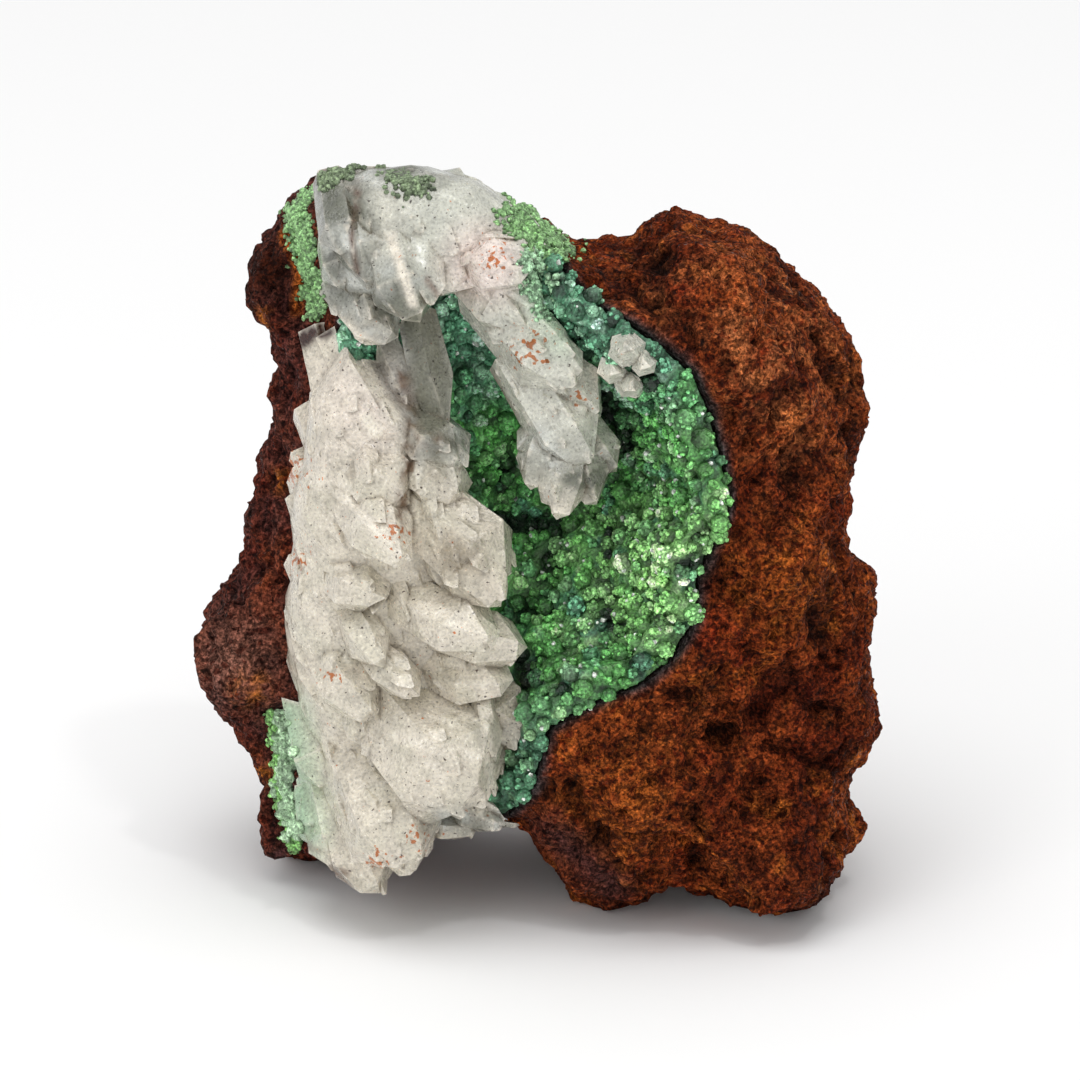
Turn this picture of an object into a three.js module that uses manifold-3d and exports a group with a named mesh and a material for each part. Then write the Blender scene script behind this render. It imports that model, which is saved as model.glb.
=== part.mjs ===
// Conichalcite on limonite with calcite, in mm, +Z up.
// A block of limonite with a hollow in its front, the hollow's green crust, and calcite grown over the crust.
// Places are given in the front view, which looks down on the specimen a little:
// across to the right, up the view, and depth away from the viewer.
import * as THREE from "three";
import { ConvexGeometry } from "three/addons/geometries/ConvexGeometry.js";
import { mergeVertices } from "three/addons/utils/BufferGeometryUtils.js";
import Module from "manifold-3d";

const wasm = await Module();
wasm.setup();

// How far the front view looks down, and the space between two minerals that touch
const VIEW_DOWN = THREE.MathUtils.degToRad(20);
const CONTACT_GAP = 0.3;
const SMALLEST_DETAIL = 0.24;

// The block: its edge in the front view, clockwise from the top left
const BLOCK_CENTRE = [0.5, 37.5];
const BLOCK_OUTLINE = [
  [-17.5, 75], [-14, 74], [-10, 73.6], [-6.5, 72.6], [-3.5, 71.2], [-0.5, 69.8], [0.8, 70.4],
  [2.6, 71], [3.2, 68.6], [6.5, 67.3], [9.4, 68], [10.6, 69], [11.5, 70.4], [13.3, 71],
  [15.8, 70.2], [19, 70], [21.8, 68.1], [24.6, 65.8], [26.5, 63.5], [29.4, 61.1], [31.4, 58.9],
  [31.6, 57.4], [31, 53], [31.4, 49.7], [31, 48.2], [31.6, 45.9], [31.7, 41.3], [31, 38.4],
  [31.4, 35.7], [33.3, 32.8], [32.7, 29.4], [33.4, 26], [34.7, 20.6], [33.7, 18.1], [33.8, 16.5],
  [31.8, 13.8], [31.2, 11.7], [31.9, 7.7], [31.2, 4.9], [28.3, 2.5], [24.7, 0.3], [23.6, -0.4],
  [21.3, -0.2], [19.4, 1.2], [17.8, 4.2], [16, 5.6], [14.6, 4.6], [12.5, 3.3], [11.4, 1.9],
  [7.1, 0.9], [5, 1.9], [2.2, 4.4], [0.3, 7.1], [-1.5, 9.8], [-4, 11.2], [-9, 10.8],
  [-13.5, 7.5], [-17, 5.8], [-22, 5.2], [-25.3, 4.6], [-27.1, 5.2], [-28, 10.2], [-28.9, 13.1],
  [-29.9, 16.7], [-31.4, 18.7], [-35, 20.2], [-35.3, 23.2], [-35.7, 27.5], [-35, 31.4],
  [-31, 33.7], [-29.4, 38], [-30.1, 41.1], [-28.8, 43.6], [-27.8, 47.2], [-26.1, 52],
  [-25.6, 56.8], [-26.9, 59.6], [-29.6, 61.8], [-29.4, 65], [-27.9, 68.8], [-25.4, 71.4],
  [-21.3, 74.3],
];
const BLOCK_DETAIL = 11;
const BLOCK_ROUNDNESS = 0.7;
// Depth of the block's edge at the bottom of the view, of its front and of its back
const EDGE_DEPTH = -4;
const EDGE_TOP = 78;
const FRONT_DEPTH = -9;
const BACK_DEPTH = 32;
// How much further back the thin rind at the left stands, and where it starts and ends
const RIND_SETBACK = 14;
const RIND_START = 4;
const RIND_END = 30;

// Lumps and pits of the block's front: from, to, radius, height towards the viewer
const FRONT_RELIEF = [
  [[20, 60], [20, 58], 9, 3],
  [[10, 66], [10, 66], 2.6, -4],
  [[7, 64.5], [8.5, 63.5], 1.2, -2],
  [[13, 57], [20, 42], 2.5, -1.5],
  [[27.5, 58], [30, 53], 1.8, -3],
  [[30, 52], [32, 44], 2.5, -4],
  [[24, 34.5], [24, 34.5], 6, 3.5],
  [[17.5, 36], [17, 31], 1.8, -2.5],
  [[29, 29], [28, 28], 3, -4],
  [[29.5, 27], [29.5, 27], 1.6, 2],
  [[24, 24], [29, 20], 3.5, -3],
  [[15, 21], [18.5, 18.5], 1.6, -3],
  [[14, 22.5], [22, 20.5], 1.6, 1.8],
  [[22.5, 17.5], [31, 14], 1.2, -2.2],
  [[8, 12], [10, 9], 6.5, 4],
  [[2.5, 13], [8, 5], 1.2, -1.4],
  [[3, 6.5], [6, 4], 2.6, -3],
  [[15.5, 9], [15.8, 5], 1.8, -4],
  [[21, 6], [23, 4], 4.5, 3],
  [[27, 12], [24, 13], 3, 2],
  [[31, 9], [30.5, 5], 2, -3],
  [[-27, 67], [-26, 64], 3.2, -4],
  [[-31, 27], [-30, 24], 3.5, 3],
];
// Lumps and hollows of its back, height away from the viewer
const BACK_RELIEF = [
  [[14, 55], [18, 45], 10, 3.5],
  [[-14, 50], [-8, 62], 8, -3],
  [[-16, 30], [-12, 24], 10, 3],
  [[6, 38], [0, 22], 5, -4],
  [[22, 24], [16, 18], 7, 3],
  [[-2, 66], [6, 62], 5, -3],
];
const LUMP_SIZE = 8;
const LUMP_HEIGHT = 1.9;
const KNOB_SIZE = 4.2;
const KNOB_HEIGHT = 1.1;

// Feet, as place on the floor and radius, and how high the underside arches between them
const FEET = [
  [22, 3, 6.4],
  [7, 6, 5.5],
  [-23, 19, 5.5],
  [21, 26, 6.5],
  [-12, 29, 6],
];
const ARCH_HEIGHT = 3.2;
const LEG_HEIGHT = 7;
const FOOT_BITE = 1.5;

// The hollow: its mouth in the front view, and the depth of its floor
const HOLLOW_CENTRE = [-8, 40];
const HOLLOW_MOUTH = [
  [-17.5, 77.5], [-22, 74.5], [-25, 71], [-24.5, 67], [-23.5, 62], [-23, 59], [-23.4, 56], [-25, 52.5], [-26, 49], [-26.3, 42], [-26.5, 36], [-26.8, 30], [-28.2, 25],
  [-28.8, 18.5], [-27.5, 15], [-25.7, 10.5], [-25.2, 4], [-25, 1], [-14, 1], [-6, 5], [-1.5, 9],
  [-1, 11.2], [0, 13.5], [0, 17.5], [1.5, 19], [6, 21.5], [11.5, 23.5], [15, 27], [16.7, 32],
  [16, 34.8], [16.5, 36.5], [19.5, 39], [19.6, 41], [18.7, 47], [17.5, 51.5], [16.3, 54.4],
  [12.5, 57.5], [9, 60], [5.5, 63], [3.8, 66.5], [2.8, 70], [1, 74], [-4, 77], [-10.6, 78.5],
];
const HOLLOW_DETAIL = 7;
const HOLLOW_ROUNDNESS = 0.86;
const MOUTH_SHARE = 0.76;
const MOUTH_DEPTH = -15;
const OPEN_DEPTH = -34;
const FLOOR_DEPTH = 11;
const FLOOR_RELIEF = [
  [[-1, 52], [1, 44], 9, -5],
  [[8, 54], [9, 50], 3, -3],
  [[10, 34], [4, 28], 7, 6],
  [[-2, 36], [2, 38], 3.5, 3],
  [[-14, 60], [-12, 20], 9, 3],
];

// The crust: its thickness, the size and rise of its rounded lumps
const CRUST_DETAIL = 8;
const CRUST_THICKNESS = 1.6;
const BOTRYOID_SIZE = 4;
const BOTRYOID_RISE = 1.5;
const CALCITE_SEAT = CRUST_THICKNESS + BOTRYOID_RISE + 4 * CONTACT_GAP;

// Calcite crystals: root, tip (each across, up, depth), width, thickness, twist in degrees, length of the point
const MASS_CRYSTALS = [
  [[-19.5, 58.5, 6], [-13.3, 45.8, -2], 8, 9, 8, 0.18],
  [[-17, 60.5, 5], [-12.3, 49.5, 0], 4.4, 7, -25, 0.3],
  [[-14.5, 57, 6], [-10.3, 48, 0], 4.5, 7, 20, 0.3],
  [[-13, 50.5, 2], [-8, 45.4, -4], 5.5, 8, 12, 0.35],
  [[-13.5, 46.5, 1], [-8.2, 42.2, -4.5], 6, 8, -10, 0.2],
  [[-21.5, 59, 7], [-18.8, 50, 2], 5.5, 7, 30, 0.3],
  [[-22.8, 51, 7], [-19.8, 45, 2.5], 5, 6, 0, 0.3],
  [[-23.6, 46.5, 6], [-20.6, 43.3, 1], 2.6, 4, 20, 0.3],
  [[-23.2, 44.5, 6], [-20.4, 37.5, 0], 5.2, 7, -12, 0.25],
  [[-19, 47.5, 1], [-13.6, 41.6, -5.5], 7.5, 8, 5, 0.25],
  [[-19.5, 44, 0], [-13.4, 36, -9], 6.4, 7, 25, 0.35],
  [[-23, 41.5, 5], [-18, 35.5, -4], 6, 8, -20, 0.3],
  [[-13, 42.5, 0], [-3.6, 34.4, -6], 9.5, 10, 10, 0.25],
  [[-11, 39.5, -1], [-4.2, 31.8, -8], 6.5, 8, -15, 0.3],
  [[-21, 36, 2], [-16.2, 32.2, -7.5], 5.2, 7, 0, 0.25],
  [[-23.8, 36, 7], [-21.4, 31.6, 1.5], 3.4, 5, 30, 0.3],
  [[-24.2, 33, 8], [-22.6, 27.5, 3], 3.4, 5, 0, 0.3],
  [[-19.5, 32, 0], [-15.6, 25.8, -8.5], 4.6, 7, -18, 0.3],
  [[-14, 33, -2], [-4.8, 28, -9.5], 6.2, 8, 14, 0.3],
  [[-11, 29.5, -1], [-1.9, 27.2, -6.5], 6.4, 8, -8, 0.3],
  [[-12, 27, 0], [-3.5, 23.5, -7.5], 5.4, 8, 22, 0.3],
  [[-17, 28, -1], [-12.6, 22.8, -9.5], 4.4, 6, 0, 0.35],
  [[-21.5, 28.5, 2], [-16.8, 20.5, -7], 6.4, 8, 12, 0.3],
  [[-23.2, 26.5, 6], [-18.8, 19.5, -2.5], 6.4, 8, -15, 0.3],
  [[-16.5, 23.5, 2], [-6.5, 12.4, -10.5], 13.5, 13, 6, 0.2],
  [[-19, 18, 2], [-12.8, 5.8, -9], 10.6, 11, -10, 0.22],
  [[-19.5, 13, 2], [-16.7, 3.1, -6.5], 7.2, 8, 18, 0.28],
  [[-22, 14.5, 4], [-19.5, 4.9, -3.5], 6.2, 8, -12, 0.25],
  [[-23.2, 13, 3], [-22.2, 7.4, -1.4], 4, 5, 12, 0.25],
  [[-9, 25, 2], [-0.4, 18.1, -5.5], 7.4, 8, 10, 0.3],
  [[-8.5, 20.5, 3], [-0.7, 13.8, -4.5], 7.4, 8, -12, 0.3],
  [[-8, 15.5, 4], [-1.8, 9.9, -2], 5.4, 8, 15, 0.25],
  [[-10, 13, 2], [-4.3, 9.6, -6], 3.8, 5, 0, 0.3],
  [[-13, 10.6, 1], [-6.6, 9, -4.5], 3, 5, 0, 0.3],
  [[-23.5, 22, 6], [-21, 13.4, -1.2], 6, 8, 14, 0.25],
];
const UPPER_CRYSTALS = [
  [[-20.3, 73.4, 4], [-18.8, 65.8, -3], 5, 6, 0, 0.25],
  [[-15.8, 73, 4], [-12.2, 59.6, -6], 7.4, 8, 10, 0.2],
  [[-18, 73.4, 5], [-16.5, 63, -4], 5.4, 7, -20, 0.25],
  [[-20.5, 67, 4], [-19.4, 62.8, -1], 3.6, 5, 0, 0.3],
  [[-20, 63.5, 3], [-14.5, 57.8, -2.5], 5.6, 6, 12, 0.25],
  [[-18, 72.8, 14], [-11, 71, 4], 6, 7, 0, 0.3],
  [[-14, 71.2, 12], [-6.8, 71, 4], 7, 8, 15, 0.3],
  [[-10, 69.8, 12], [-3, 69.2, 4], 7, 8, -10, 0.3],
  [[-7, 68.4, 11], [-0.6, 67.4, 4], 6.6, 7, 20, 0.35],
  [[-12.5, 69, 6], [-7.5, 63, -3], 8, 8, 0, 0.3],
  [[-8.5, 67.5, 5], [-1.6, 64, -7], 6, 7, 12, 0.3],
  [[-13, 64, 4], [-9.4, 48.4, -1], 5, 5, 25, 0.35],
];
const FINGER_CRYSTALS = [
  [[-9.5, 68.5, 8], [0, 59, -3], 9.5, 9, 8, 0.25],
  [[-3, 69.5, 5], [2.6, 61, -1], 6, 8, -15, 0.3],
  [[-6, 64, 4], [3.5, 53.5, -4.5], 9, 8.5, -8, 0.25],
  [[-2.5, 60.5, 3], [5.4, 50, -3], 8, 8, 15, 0.3],
  [[-2.5, 56.5, 1], [4.6, 45.5, -5], 7.4, 7, 0, 0.25],
  [[1.5, 51, 0], [-0.9, 43.2, -5.5], 4.6, 5, 12, 0.3],
  [[3, 50, 0], [2, 40.4, -7], 5.4, 5.4, -8, 0.3],
  [[3.5, 50, 0], [5.2, 41.6, -5], 4.8, 5, 20, 0.3],
  [[3.8, 50, 0.5], [7.3, 44.8, -3], 4.4, 4.6, 0, 0.3],
  [[0.5, 50.5, 1], [-2, 46.6, -3], 2.8, 3.6, 15, 0.35],
];
const CLUSTER_CRYSTALS = [
  [[7.6, 56, 0], [7.2, 54.4, -8.6], 3.8, 3.4, 0, 0.25],
  [[8.6, 56.6, -1], [8.4, 56.6, -10.4], 4, 3.8, 15, 0.25],
  [[9.6, 56, -1], [10.2, 55, -9.8], 3.6, 3.8, 30, 0.3],
  [[9, 55, 1], [8.8, 52.8, -9], 3.6, 3.6, -10, 0.3],
];
const CRYSTAL_FLATNESS = 0.84;
const TIP_BLUNTNESS = 0.34;

// The solid calcite behind the crystals, of the mass and of the arch: centre, edge, front, back
const CORES = [
  {
    centre: [-14, 34],
    outline: [
      [-19, 58], [-14.5, 54], [-11.5, 47], [-10.5, 41], [-7, 35], [-6, 29], [-5, 24], [-3, 18],
      [-4, 13], [-9, 11.5], [-13, 9], [-17, 7.5], [-21, 9.5], [-23, 15], [-24, 24], [-24, 36],
      [-23.5, 46], [-21.5, 56],
    ],
    edge: 5,
    front: -5,
    back: 18,
  },
  {
    centre: [-11, 67],
    outline: [
      [-20, 73.5], [-15, 74.5], [-9, 74], [-3.5, 71.4], [-0.6, 69], [0, 64.5], [-2.5, 62.6],
      [-8, 62.6], [-11.5, 62], [-16, 59], [-20, 60], [-20.5, 67],
    ],
    edge: 6,
    front: -3.5,
    back: 24,
  },
];
const CORE_DETAIL = 4;

const lookDown = Math.sin(VIEW_DOWN);
const lookLevel = Math.cos(VIEW_DOWN);

// A place in the front view as a point in space
function place(across, up, depth) {
  return new THREE.Vector3(across, depth, (up - depth * lookDown) / lookLevel);
}

// A repeatable value between 0 and 1 for a cell of space
function cellValue(x, y, z, seed) {
  const s = Math.sin(x * 127.1 + y * 311.7 + z * 74.7 + seed * 53.3) * 43758.5453;
  return s - Math.floor(s);
}

// Smooth hills between -1 and 1, `size` mm apart
function hills(point, size, seed) {
  const [x, y, z] = [point.x / size, point.y / size, point.z / size];
  const [cx, cy, cz] = [Math.floor(x), Math.floor(y), Math.floor(z)];
  const ease = (t) => t * t * (3 - 2 * t);
  const [fx, fy, fz] = [ease(x - cx), ease(y - cy), ease(z - cz)];
  let sum = 0;
  for (let corner = 0; corner < 8; corner++) {
    const [i, j, k] = [corner & 1, (corner >> 1) & 1, (corner >> 2) & 1];
    const weight = (i ? fx : 1 - fx) * (j ? fy : 1 - fy) * (k ? fz : 1 - fz);
    sum += weight * cellValue(cx + i, cy + j, cz + k, seed);
  }
  return 2 * sum - 1;
}

// Rounded lumps side by side, 0 between them and 1 on top
function roundedLumps(point, size, seed) {
  const [cx, cy, cz] = [point.x, point.y, point.z].map((c) => Math.floor(c / size));
  let nearest = Infinity;
  for (let i = -1; i <= 1; i++)
    for (let j = -1; j <= 1; j++)
      for (let k = -1; k <= 1; k++) {
        const [x, y, z] = [cx + i, cy + j, cz + k];
        const middle = new THREE.Vector3(
          x + cellValue(x, y, z, seed),
          y + cellValue(x, y, z, seed + 1),
          z + cellValue(x, y, z, seed + 2),
        ).multiplyScalar(size);
        nearest = Math.min(nearest, middle.distanceTo(point));
      }
  return Math.sqrt(Math.max(0, 1 - (nearest / size) ** 2));
}

// Sum of the lumps and pits of a list at a place of the front view
function relief(list, across, up) {
  const here = new THREE.Vector3(across, up, 0);
  const nearest = new THREE.Vector3();
  return list.reduce((sum, [from, to, radius, height]) => {
    const ridge = new THREE.Line3(new THREE.Vector3(...from, 0), new THREE.Vector3(...to, 0));
    ridge.closestPointToPoint(here, true, nearest);
    return sum + height * Math.exp(-((nearest.distanceTo(here) / radius) ** 2));
  }, 0);
}

// Distance from the centre to an outline in a direction
function reachOf(outline, centre) {
  const spokes = outline
    .map(([x, y]) => [Math.atan2(y - centre[1], x - centre[0]), Math.hypot(x - centre[0], y - centre[1])])
    .sort((a, b) => a[0] - b[0]);
  const first = spokes[0];
  const last = spokes[spokes.length - 1];
  const ring = [[last[0] - 2 * Math.PI, last[1]], ...spokes, [first[0] + 2 * Math.PI, first[1]]];
  return (angle) => {
    const next = ring.findIndex((spoke) => spoke[0] >= angle);
    const [a, b] = [ring[next - 1], ring[next]];
    return a[1] + ((b[1] - a[1]) * (angle - a[0])) / (b[0] - a[0]);
  };
}

// A closed body: its edge in the front view follows an outline, its front and back bulge to given depths.
// `share` is how much of the surface lies behind the edge, `inset` how far each spot is drawn inwards.
function bulgedBody({ detail, outline, centre, roundness, share, edgeAt, frontAt, backAt, inset = () => 0 }) {
  const ball = new THREE.IcosahedronGeometry(1, detail);
  ball.deleteAttribute("normal");
  ball.deleteAttribute("uv");
  const body = mergeVertices(ball, 1e-5);
  const reach = reachOf(outline, centre);
  const edgeTurn = Math.PI * share;
  const spots = body.getAttribute("position");
  for (let i = 0; i < spots.count; i++) {
    const way = new THREE.Vector3().fromBufferAttribute(spots, i).normalize();
    const turn = Math.acos(THREE.MathUtils.clamp(way.y, -1, 1));
    const behind = turn < edgeTurn;
    const part = behind ? turn / edgeTurn : (Math.PI - turn) / (Math.PI - edgeTurn);
    const out = Math.sin((part * Math.PI) / 2) ** roundness;
    const bulge = Math.cos((part * Math.PI) / 2) ** roundness;
    const angle = Math.atan2(way.z, way.x);
    const spotAt = (drawnIn) => {
      const far = (reach(angle) - drawnIn) * out;
      const across = centre[0] + far * Math.cos(angle);
      const up = centre[1] + far * Math.sin(angle);
      const edge = edgeAt(across, up);
      const full = behind ? backAt(across, up) - drawnIn : frontAt(across, up) + drawnIn;
      return place(across, up, edge + (full - edge) * bulge);
    };
    const spot = spotAt(inset(spotAt(0)));
    spots.setXYZ(i, spot.x, spot.y, spot.z);
  }
  body.computeVertexNormals();
  return body;
}

// Moves every point of a body along its own outward direction by what `amount` gives there
function grown(body, amount) {
  const moved = body.clone();
  const spots = moved.getAttribute("position");
  const ways = body.getAttribute("normal");
  for (let i = 0; i < spots.count; i++) {
    const spot = new THREE.Vector3().fromBufferAttribute(spots, i);
    const way = new THREE.Vector3().fromBufferAttribute(ways, i);
    spot.addScaledVector(way, amount(spot));
    spots.setXYZ(i, spot.x, spot.y, spot.z);
  }
  moved.computeVertexNormals();
  return moved;
}

function solidOf(geometry) {
  const plain = geometry.clone();
  for (const name of Object.keys(plain.attributes)) if (name !== "position") plain.deleteAttribute(name);
  const merged = mergeVertices(plain, 1e-4);
  return new wasm.Manifold(
    new wasm.Mesh({
      numProp: 3,
      vertProperties: merged.getAttribute("position").array,
      triVerts: new Uint32Array(merged.index.array),
    }),
  );
}

// The biggest body of a solid, without detail too small to see
function mainBody(solid) {
  const bodies = solid.simplify(SMALLEST_DETAIL).decompose();
  return bodies.reduce((best, body) => (body.volume() > best.volume() ? body : best));
}

function meshOf(name, solid, look) {
  const made = solid.getMesh();
  const geometry = new THREE.BufferGeometry();
  geometry.setAttribute("position", new THREE.BufferAttribute(new Float32Array(made.vertProperties), 3));
  geometry.setIndex(new THREE.BufferAttribute(new Uint32Array(made.triVerts), 1));
  const mesh = new THREE.Mesh(geometry, new THREE.MeshStandardMaterial({ ...look, flatShading: true }));
  mesh.name = name;
  return mesh;
}

// One crystal: six sides and a blunt three-faced point
function crystal([root, tip, width, thickness, twist, pointLength]) {
  const from = place(...root);
  const to = place(...tip);
  const axis = to.clone().sub(from);
  const length = axis.length();
  axis.normalize();
  const side = new THREE.Vector3().crossVectors(axis, new THREE.Vector3(0, 1, 0)).normalize();
  side.applyAxisAngle(axis, THREE.MathUtils.degToRad(twist));
  const face = new THREE.Vector3().crossVectors(axis, side);
  const points = [];
  const addRing = (along, scale, corners, turn) => {
    for (let i = 0; i < corners; i++) {
      const angle = turn + (i * 2 * Math.PI) / corners;
      points.push(
        from
          .clone()
          .addScaledVector(axis, along * length)
          .addScaledVector(side, (Math.cos(angle) * scale * width) / 2)
          .addScaledVector(face, (Math.sin(angle) * scale * thickness) / 2),
      );
    }
  };
  addRing(0, CRYSTAL_FLATNESS, 6, 0);
  addRing(1 - pointLength, 1, 6, 0);
  addRing(1, TIP_BLUNTNESS, 3, Math.PI / 6);
  return solidOf(new ConvexGeometry(points));
}

const joined = (lists) => wasm.Manifold.union(lists.flat().map(crystal));

// Limonite block
const setBackAt = (across) => RIND_SETBACK * THREE.MathUtils.smoothstep(-across, RIND_START, RIND_END);
const smoothBlock = bulgedBody({
  detail: BLOCK_DETAIL,
  outline: BLOCK_OUTLINE,
  centre: BLOCK_CENTRE,
  roundness: BLOCK_ROUNDNESS,
  share: 0.5,
  edgeAt: (across, up) => EDGE_DEPTH + up * lookDown + setBackAt(across) * (1 - up / EDGE_TOP),
  frontAt: (across, up) => FRONT_DEPTH + setBackAt(across) - relief(FRONT_RELIEF, across, up),
  backAt: (across, up) => BACK_DEPTH + relief(BACK_RELIEF, across, up),
});
const roughBlock = grown(
  smoothBlock,
  (spot) => LUMP_HEIGHT * (hills(spot, LUMP_SIZE, 1) - 0.1) + KNOB_HEIGHT * hills(spot, KNOB_SIZE, 2),
);

// The underside arches between the feet
const blockSpots = roughBlock.getAttribute("position");
for (let i = 0; i < blockSpots.count; i++) {
  const [x, y] = [blockSpots.getX(i), blockSpots.getY(i)];
  const z = blockSpots.getZ(i);
  const foot = Math.max(...FEET.map(([fx, fy, r]) => Math.exp(-((Math.hypot(x - fx, y - fy) / r) ** 4))));
  const arched = Math.max(z, ARCH_HEIGHT);
  if (z < LEG_HEIGHT) blockSpots.setZ(i, THREE.MathUtils.lerp(arched, -FOOT_BITE, foot));
}
roughBlock.computeVertexNormals();
const below = new THREE.BoxGeometry(200, 200, 40).translate(0, 0, -20);
const block = solidOf(roughBlock).subtract(solidOf(below));

// The hollow
const hollowDrawnIn = (detail, inset) =>
  bulgedBody({
    detail,
    inset,
    outline: HOLLOW_MOUTH,
    centre: HOLLOW_CENTRE,
    roundness: HOLLOW_ROUNDNESS,
    share: MOUTH_SHARE,
    edgeAt: () => MOUTH_DEPTH,
    frontAt: () => OPEN_DEPTH,
    backAt: (across, up) => FLOOR_DEPTH - relief(FLOOR_RELIEF, across, up),
  });
const hollow = solidOf(hollowDrawnIn(HOLLOW_DETAIL, () => 0));
const matrix = mainBody(block.subtract(hollow));

// The crust on the hollow's wall
const crustBack = solidOf(hollowDrawnIn(HOLLOW_DETAIL, () => CONTACT_GAP));
const crustFront = solidOf(
  hollowDrawnIn(
    CRUST_DETAIL,
    (spot) => CONTACT_GAP + CRUST_THICKNESS + BOTRYOID_RISE * roundedLumps(spot, BOTRYOID_SIZE, 7),
  ),
);
const crust = mainBody(crustBack.subtract(crustFront).intersect(block));

// What calcite must stay clear of: the block and its crust
const taken = solidOf(grown(roughBlock, () => CONTACT_GAP)).subtract(
  solidOf(hollowDrawnIn(HOLLOW_DETAIL, () => CALCITE_SEAT)),
);
const cores = CORES.map(({ centre, outline, edge, front, back }) =>
  solidOf(
    bulgedBody({
      detail: CORE_DETAIL,
      outline,
      centre,
      roundness: BLOCK_ROUNDNESS,
      share: 0.5,
      edgeAt: () => edge,
      frontAt: () => front,
      backAt: () => back,
    }),
  ),
);
const crystals = joined([MASS_CRYSTALS, UPPER_CRYSTALS, FINGER_CRYSTALS]);
const calcite = mainBody(wasm.Manifold.union([crystals, ...cores]).subtract(taken));
const cluster = mainBody(joined([CLUSTER_CRYSTALS]).subtract(taken));

const group = new THREE.Group();
group.add(meshOf("limonite_matrix", matrix, { color: 0x6b3a22, roughness: 0.85, metalness: 0 }));
group.add(meshOf("conichalcite_crust", crust, { color: 0x5b8d52, roughness: 0.6, metalness: 0 }));
group.add(meshOf("calcite_crystals", calcite, { color: 0xcac3b1, roughness: 0.35, metalness: 0 }));
group.add(meshOf("calcite_cluster", cluster, { color: 0xd6d0c2, roughness: 0.35, metalness: 0 }));
group.children.forEach((mesh) => mesh.geometry.computeVertexNormals());

// The origin is the middle of the specimen's bounding box, on the surface it stands on
const bounds = new THREE.Box3().setFromObject(group);
const middle = bounds.getCenter(new THREE.Vector3());
group.position.set(-middle.x, -middle.y, -bounds.min.z);

export default group;
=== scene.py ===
"""Conichalcite on limonite with calcite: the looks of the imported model, in metres.

Places on the specimen are named in its front view, in millimetres: across to the right and up the
view, as the camera sees them.
"""

import math
import random

import bmesh
import bpy
import numpy as np
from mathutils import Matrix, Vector, noise
from mathutils.bvhtree import BVHTree


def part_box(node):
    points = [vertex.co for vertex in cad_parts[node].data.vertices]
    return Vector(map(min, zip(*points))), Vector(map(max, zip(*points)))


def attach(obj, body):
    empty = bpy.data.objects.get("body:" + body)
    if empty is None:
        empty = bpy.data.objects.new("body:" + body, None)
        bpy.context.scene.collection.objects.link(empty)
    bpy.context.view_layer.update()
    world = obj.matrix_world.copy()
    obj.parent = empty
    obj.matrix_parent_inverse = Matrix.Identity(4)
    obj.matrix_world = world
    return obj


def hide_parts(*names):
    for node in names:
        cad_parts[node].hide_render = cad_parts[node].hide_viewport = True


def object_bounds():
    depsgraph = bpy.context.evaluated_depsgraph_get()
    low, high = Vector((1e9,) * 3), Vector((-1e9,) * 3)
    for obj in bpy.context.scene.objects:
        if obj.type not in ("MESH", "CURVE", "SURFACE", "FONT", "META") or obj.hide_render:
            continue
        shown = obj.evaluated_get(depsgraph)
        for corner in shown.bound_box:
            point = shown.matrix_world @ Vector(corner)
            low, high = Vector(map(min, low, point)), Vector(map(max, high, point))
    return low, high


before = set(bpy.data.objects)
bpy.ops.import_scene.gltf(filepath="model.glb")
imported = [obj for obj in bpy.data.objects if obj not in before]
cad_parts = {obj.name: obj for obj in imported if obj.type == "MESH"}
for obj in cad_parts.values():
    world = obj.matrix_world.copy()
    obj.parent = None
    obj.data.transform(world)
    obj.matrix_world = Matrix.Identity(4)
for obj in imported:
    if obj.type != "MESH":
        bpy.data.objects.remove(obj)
cad_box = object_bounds()

MM = 0.001

# Noise vectors take their offsets from this seed, and from the clock without it
NOISE_SEED = 7
noise.seed_set(NOISE_SEED)

# The front view: how far it looks down, and where its zero lies in the row frame
VIEW_DOWN = math.radians(20)
VIEW_ZERO = Vector((0.214, -11.334, 0)) * MM
LOOK_DOWN, LOOK_LEVEL = math.sin(VIEW_DOWN), math.cos(VIEW_DOWN)
VIEW_DIRECTION = Vector((0, LOOK_LEVEL, -LOOK_DOWN))

# The camera: what it aims at in the front view, how far off it stands and how wide it sees
AIM = (0, 38, 8)
CAMERA_DISTANCE = 0.9
SEEN_WIDTH = 0.108
SENSOR = 36
SEEN_FROM, SEEN_TO = 0.05, 20

# Size of the even faces that the rock and the crust are remade of, in millimetres
ROCK_VOXEL = 0.48
CRUST_VOXEL = 0.36


def place(across, up, depth):
    """A place in the front view, in millimetres, as a point of the row frame in metres."""
    return Vector((across, depth, (up - depth * LOOK_DOWN) / LOOK_LEVEL)) * MM + VIEW_ZERO


def front_view(co):
    """(across, up) in millimetres of points of the row frame, given as an array of rows in metres."""
    local = (co - np.array(VIEW_ZERO)) / MM
    return local[:, 0], local[:, 2] * LOOK_LEVEL + local[:, 1] * LOOK_DOWN


# Meshes


def points_of(mesh):
    co = np.empty(len(mesh.vertices) * 3)
    mesh.vertices.foreach_get("co", co)
    return co.reshape(-1, 3)


def normals_of(mesh):
    ways = np.empty(len(mesh.vertices) * 3)
    mesh.vertex_normals.foreach_get("vector", ways)
    return ways.reshape(-1, 3)


def set_points(mesh, co):
    mesh.vertices.foreach_set("co", co.ravel())
    mesh.update()


def add_object(name, mesh):
    obj = bpy.data.objects.new(name, mesh)
    bpy.context.scene.collection.objects.link(obj)
    return obj


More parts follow.
